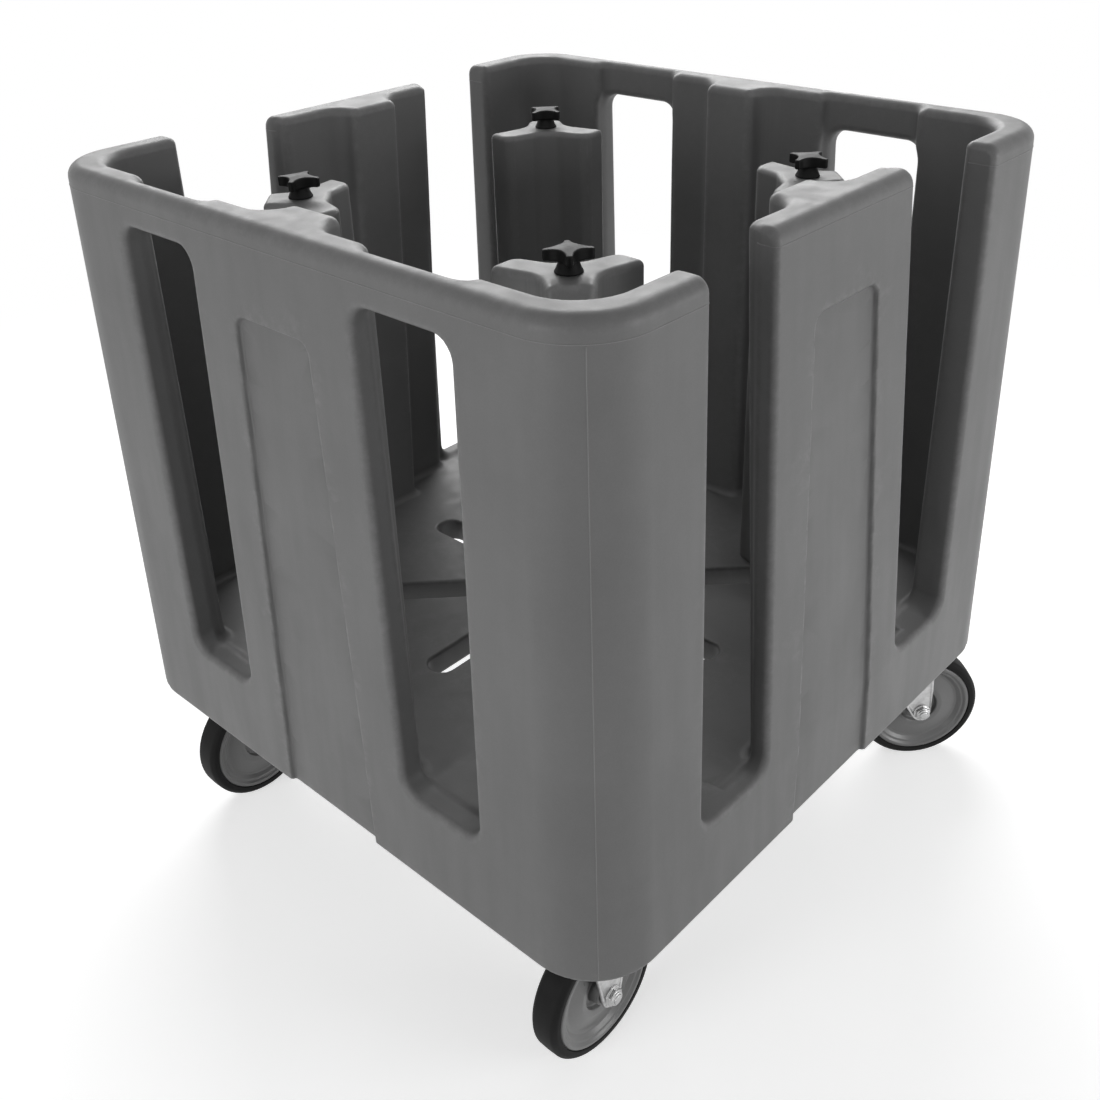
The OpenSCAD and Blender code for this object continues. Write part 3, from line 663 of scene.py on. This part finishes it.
hub_mesh = turned("hub", rounded_path(both_sides([
    (9.2, 19, 0.6), (14.6, 19, 1.2), (16, 6.6, 1.6), (22.4, 6.6, 1.6), (23.6, 12.4, 1.8),
    (30, 12.6, 6), (47, 9.2, 4), (50.5, 9.4, 2), (54.5, 13.2, 2), (57, 13.4, 1.2),
    (59.4, 15.9, 1.5), (62.6, 15.9, 1.2), (64, 14.4, 0.6)])))
tyre_mesh = turned("tyre", rounded_path([
    (64, 14.4, 0), (64.6, 16, 1.0), (70.5, 16, 4.5), (74.6, 11.6, 5.0), (75, 0, 0),
    (74.6, -11.6, 5.0), (70.5, -16, 4.5), (64.6, -16, 1.0), (64, -14.4, 0)]))
bush_mesh = turned("bush", rounded_path(both_sides([
    (5.3, 20.5, 0.5), (11.6, 20.5, 0.7), (12, 19.1, 0.3), (9.1, 19.0, 0)])), around=48)
across_flats = 17


def hex_distance(x, z, flats):
    """Signed distance to a hexagon across its flats."""
    slanted = np.maximum(np.abs(x * 0.5 + z * 0.8660254), np.abs(x * 0.5 - z * 0.8660254))
    return np.maximum(slanted, np.abs(x)) - flats / 2


def axle_flange(r, y, side):
    """Thin round flange of the axle bolt or nut, on one side of the legs."""
    return cut_round(r - 10.8, np.abs(y - side * 24.9) - 0.9, 0.6)


def axle_bolt_distance(x, y, z):
    """M10 bolt along Y with a chamfered hexagon head on a flange."""
    r = np.hypot(x, z)
    head = cut_round(hex_distance(x, z, across_flats), np.abs(y - 27) - 3, 0.4)
    head = cut_round(head, (r - 9.6 + (y - 28.8)) * 0.7, 0.5)
    shank = cut_round(r - 5, np.abs(y + 4) - 29, 1)
    return np.minimum(join_round(head, axle_flange(r, y, 1), 0.8), shank)


def axle_nut_distance(x, y, z):
    """Flanged lock nut with a round collar over its insert."""
    r = np.hypot(x, z)
    body = cut_round(hex_distance(x, z, across_flats), np.abs(y + 27) - 3, 0.4)
    collar = cut_round(r - 7.6, np.abs(y + 29) - 3, 1.4)
    nut = join_round(join_round(body, axle_flange(r, y, -1), 0.8), collar, 0.6)
    return np.maximum(nut, 5.05 - r)


axle_bolt_mesh = skinned("axle bolt", axle_bolt_distance, (-12, -35, -12), (12, 32, 12), 0.8)
axle_nut_mesh = skinned("axle nut", axle_nut_distance, (-12, -34, -12), (12, -22, 12), 0.8)
hub_grey = moulded_plastic("hub grey", 132, 118, 0.32, pebble_depth=0.00003, shine=0.5)
tyre_rubber = moulded_plastic("tyre rubber", 34, 24, 0.66, pebble_size=0.9,
                              pebble_depth=0.00008, shine=0.15)
bush_black = moulded_plastic("bush black", 40, 28, 0.4, pebble_depth=0.00003)
for corner in corner_names:
    place = Matrix.Translation(joint_of[corner + "_wheel_roll"]["pos_m"]) @ turn_of(corner)
    wheel = "wheel_" + corner
    carrier = "fork_" + corner if corner in swivel_corners else "cart"
    for mesh, name, body, slot, finish, node in (
            (hub_mesh, "hub_", wheel, "hub_grey", hub_grey, "wheel_hub_"),
            (tyre_mesh, "tyre_of_", wheel, "tyre_rubber", tyre_rubber, "tyre_"),
            (bush_mesh, "bush_", wheel, "bush_black", bush_black, "wheel_bush_"),
            (axle_bolt_mesh, "bolt_", carrier, "bright_steel", bright, "axle_bolt_"),
            (axle_nut_mesh, "nut_", carrier, "bright_steel", bright, "axle_nut_")):
        dress(add_piece(mesh, name + corner, place), body, slot, finish, node + corner)

# Four towers guide the plates. Each is a hollow moulding of the tub's plastic with two wings
# towards the plates, and a key under it rides in a corner slot of the floor.
half_plan = [(-29, 14, 14), (-47, 46, 14), (-23, 68, 5), (6, 24, 40), (36, 20, 7)]
tower_plan = rounded_path(half_plan + [(u, -v, r) for u, v, r in half_plan[::-1]], 7)
tower_top = 762.0
outward_angles = (225, 315, 45, 135)


def tower_distance(x, y, z):
    """Tower with its key, and the bore for the rod."""
    side = plan_distance(tower_plan, x, y)
    tower = cut_round(cut_round(side, z - tower_top, 6), floor_height + 0.3 - z, 2)
    key = np.hypot(x - np.clip(x, -13, 13), y) - 15
    key = cut_round(key, np.abs(z - floor_height + 5) - 13, 2)
    return np.maximum(np.minimum(tower, key), 5.9 - np.hypot(x, y))


tower_grey = moulded_plastic("tower grey", 130, 118, 0.5, rubbed=0.2)
tower_mesh = skinned("tower", tower_distance, (-50, -71, 258), (40, 71, 766), 2.5, 0.3)
tower_places = {}
for corner, angle in zip(corner_names, outward_angles):
    x, y, _ = joint_of[corner + "_knob_turn"]["pos_m"]
    place = Matrix.Translation((x, y, 0)) @ Matrix.Rotation(math.radians(angle), 4, "Z")
    tower_places[corner] = place
    tower = add_piece(tower_mesh, "guide_tower_" + corner, place)
    dress(tower, "tower_" + corner, "tower_grey", tower_grey, "tower_" + corner)

# A threaded rod runs down through each tower and the floor slot to a steel plate and nut.
# Turning the black knob on top pulls the plate up against the floor and locks the tower.
rod_bottom, thread_top, rod_top = 226.0, 262.0, 778.8
rod_radius, thread_pitch, thread_depth = 5.0, 1.5, 0.8
knob_angles = (45, 0, 0, 30)
plate_middle, nut_middle = 246.7, 239.7
threaded_hole = 5.05
through_hole = 5.1


def thread_mesh(name):
    """Round rod along Z with a cut thread at its lower end."""
    around = 24
    heights = np.concatenate([np.arange(rod_bottom + 1, thread_top, thread_pitch / 6),
                              [thread_top + 0.5, rod_top]])
    angles = np.arange(around) * 2 * math.pi / around
    rings = [(rod_bottom, np.full(around, rod_radius - 1.2))]
    for z in heights:
        turns = (z / thread_pitch - angles / (2 * math.pi)) % 1
        depth = thread_depth if z < thread_top else 0
        rings.append((z, rod_radius - depth * (1 - np.abs(2 * turns - 1))))
    points = [(r * math.cos(a) / 1000, r * math.sin(a) / 1000, z / 1000)
              for z, radii in rings for a, r in zip(angles, radii)]
    mesh = bpy.data.meshes.new(name)
    mesh.from_pydata(points, [], ring_faces(len(rings), around))
    mesh.shade_smooth()
    mesh.set_sharp_from_angle(angle=math.radians(50))
    return mesh


def clamp_plate_distance(x, y, z):
    """Steel plate 6 thick with rounded corners and a hole for the rod."""
    side = off_rectangle(x, y, 18, 27) - 4
    plate = cut_round(side, np.abs(z - plate_middle) - 3, 1)
    return np.maximum(plate, through_hole - np.hypot(x, y))


def clamp_nut_distance(x, y, z):
    """Hexagon nut 8 thick, chamfered on both faces."""
    r = np.hypot(x, y)
    off_middle = np.abs(z - nut_middle)
    nut = cut_round(hex_distance(x, y, across_flats), off_middle - 4, 0.4)
    nut = cut_round(nut, (r - 9.4 + (off_middle - 3.4) * 0.9) * 0.74, 0.5)
    return np.maximum(nut, through_hole - r)


def knob_distance(x, y, z):
    """Four-lobed grip with hollow sides, on a neck that widens to a round foot."""
    z = z - tower_top
    ax, ay = np.maximum(np.abs(x), np.abs(y)), np.minimum(np.abs(x), np.abs(y))
    tip = np.where(ax > 17.5, np.hypot(ax - 17.5, ay) - 4.5, ax - 22)
    star = cut_round(tip, 17.2 - np.hypot(ax - 20.15, ay - 20.15), 1.2)
    r = np.hypot(x, y)
    head = cut_round(star, z - 23 + 0.11 * r, 1.3)
    head = cut_round(head, 11 - z, 1.3)
    neck = cut_round(r - 8.6, z - 18, 1)
    foot = cut_round(r - 13 + 0.55 * (z - 0.3), 0.3 - z, 1)
    foot = cut_round(foot, z - 8, 1)
    knob = join_round(join_round(foot, neck, 3), head, 1.5)
    return np.maximum(knob, np.minimum(threaded_hole - r, 17 - z))


knob_black = moulded_plastic("knob black", 9, 5, 0.5, pebble_size=0.8, pebble_depth=0.00003,
                             shine=0.15)
knob_mesh = skinned("knob", knob_distance, (-24, -24, 760), (24, 24, 788), 0.8, 0.4)
rod_mesh = thread_mesh("rod")
plate_mesh = skinned("clamp plate", clamp_plate_distance, (-24, -33, 242), (24, 33, 252), 1.1)
nut_mesh = skinned("clamp nut", clamp_nut_distance, (-11, -11, 234), (11, 11, 246), 0.8)
for corner, knob_angle, angle in zip(corner_names, knob_angles, outward_angles):
    place = tower_places[corner]
    grip = place @ Matrix.Rotation(math.radians(knob_angle - angle), 4, "Z")
    knob, clamp = "knob_" + corner, "clamp_" + corner
    for mesh, name, where, body, slot, finish, node in (
            (knob_mesh, "grip_", grip, knob, "knob_black", knob_black, "knob_"),
            (rod_mesh, "screw_", place, knob, "bright_steel", bright, "rod_"),
            (plate_mesh, "plate_", place, clamp, "bright_steel", zinc, "clamp_plate_"),
            (nut_mesh, "nut_on_plate_", place, clamp, "bright_steel", bright, "clamp_nut_")):
        dress(add_piece(mesh, name + corner, where), body, slot, finish, node + corner)

# The cart stands on a plain pale floor of matt paper. It takes the cart's soft shadow, and
# turns to the white of the background further out.
floor_mesh = bpy.data.meshes.new("floor")
edge_points = [(x, y, 0) for x, y in on_circle(9, range(0, 360, 5))]
floor_mesh.from_pydata(edge_points, [], [tuple(range(len(edge_points)))])
floor = add_piece(floor_mesh, "floor")
pale = bpy.data.materials.new("pale floor")
pale.use_nodes = True
tree = pale.node_tree
tree.nodes.clear()
white = (1, 1, 1, 1)
place = shader_node(tree, "ShaderNodeTexCoord").outputs["Object"]
from_middle = shader_node(tree, "ShaderNodeVectorMath", {"operation": "LENGTH"}, in0=place)
fade = shader_node(tree, "ShaderNodeMapRange", {"interpolation_type": "SMOOTHSTEP"},
                   Value=from_middle.outputs["Value"], in1=0.7, in2=2.2).outputs[0]
paint = shader_node(tree, "ShaderNodeBsdfDiffuse", Color=(0.8, 0.8, 0.8, 1))
background = shader_node(tree, "ShaderNodeEmission", Color=white, Strength=1.0)
seen = shader_node(tree, "ShaderNodeLightPath").outputs
direct = calculate(tree, "MAXIMUM", seen["Is Camera Ray"], seen["Is Glossy Ray"])
glow = shader_node(tree, "ShaderNodeEmission", Color=white,
                   Strength=calculate(tree, "MULTIPLY", direct, 0.6))
near = shader_node(tree, "ShaderNodeAddShader", in0=paint.outputs[0], in1=glow.outputs[0])
surface = shader_node(tree, "ShaderNodeMixShader", in0=calculate(tree, "MULTIPLY", fade, direct),
                      in1=near.outputs[0], in2=background.outputs[0])
shader_node(tree, "ShaderNodeOutputMaterial", Surface=surface.outputs[0])
floor_mesh.materials.append(pale)

# Soft light comes from cloth boxes: a large one overhead, two low ones, one for each outer
# side in view, and one behind that gives the rims their sheen. The room adds a little.
def soft_box(name, power, size, place, target):
    """A rectangular lamp that faces the target and is not in the picture itself."""
    lamp = bpy.data.lights.new(name, "AREA")
    lamp.shape = "RECTANGLE"
    lamp.size, lamp.size_y = size
    lamp.energy = power
    box = bpy.data.objects.new(name, lamp)
    bpy.context.scene.collection.objects.link(box)
    box.visible_camera = False
    box.location = place
    facing = Vector(target) - Vector(place)
    box.rotation_euler = facing.to_track_quat("-Z", "Y").to_euler()


soft_box("overhead box", 6, (2.6, 2.6), (0.1, 0.1, 3.1), (0, 0, 0.8))
soft_box("left box", 18.5, (1.4, 1.0), (-2.5, 0.0, 0.8), (-0.3, 0, 0.45))
soft_box("front box", 22.5, (1.4, 1.0), (0.9, -2.5, 0.8), (0, -0.3, 0.45))
soft_box("back box", 90, (3.2, 1.3), (2.0, 2.0, 2.3), (0, 0, 0.75))

world = bpy.data.worlds.new("white room")
bpy.context.scene.world = world
world.use_nodes = True
tree = world.node_tree
tree.nodes.clear()
seen = shader_node(tree, "ShaderNodeLightPath").outputs
mirror = calculate(tree, "MAXIMUM", seen["Is Glossy Ray"], seen["Is Transmission Ray"])
direct = calculate(tree, "MAXIMUM", seen["Is Camera Ray"], mirror)
room = shader_node(tree, "ShaderNodeBackground", Color=white, Strength=0.12)
backdrop = shader_node(tree, "ShaderNodeBackground", Color=white, Strength=1.0)
both = shader_node(tree, "ShaderNodeMixShader", in0=direct, in1=room.outputs[0],
                   in2=backdrop.outputs[0])
shader_node(tree, "ShaderNodeOutputWorld", Surface=both.outputs[0])

# The camera looks down on the front left corner from a little over a metre away. It is
# tilted a little, and its picture is shifted down so that the upright edges converge less.
azimuth, elevation, roll = math.radians(-46.45), math.radians(27.28), math.radians(-1.955)
back = Vector((math.sin(azimuth) * math.cos(elevation),
               -math.cos(azimuth) * math.cos(elevation), math.sin(elevation)))
right = (-back).cross(Vector((0, 0, 1))).normalized()
above = right.cross(-back)
tilted_right = right * math.cos(roll) + above * math.sin(roll)
tilted_up = above * math.cos(roll) - right * math.sin(roll)
facing = Matrix((tilted_right, tilted_up, back)).transposed().to_4x4()
lens = bpy.data.cameras.new("camera")
lens.sensor_width = 36
lens.lens = 41.084
lens.shift_x, lens.shift_y = -0.00093, -0.09857
lens.clip_end = 50
camera = bpy.data.objects.new("camera", lens)
bpy.context.scene.collection.objects.link(camera)
camera.matrix_world = Matrix.Translation((-0.91768, -0.85412, 1.11670)) @ facing
bpy.context.scene.camera = camera
bpy.context.scene.view_settings.view_transform = "Standard"
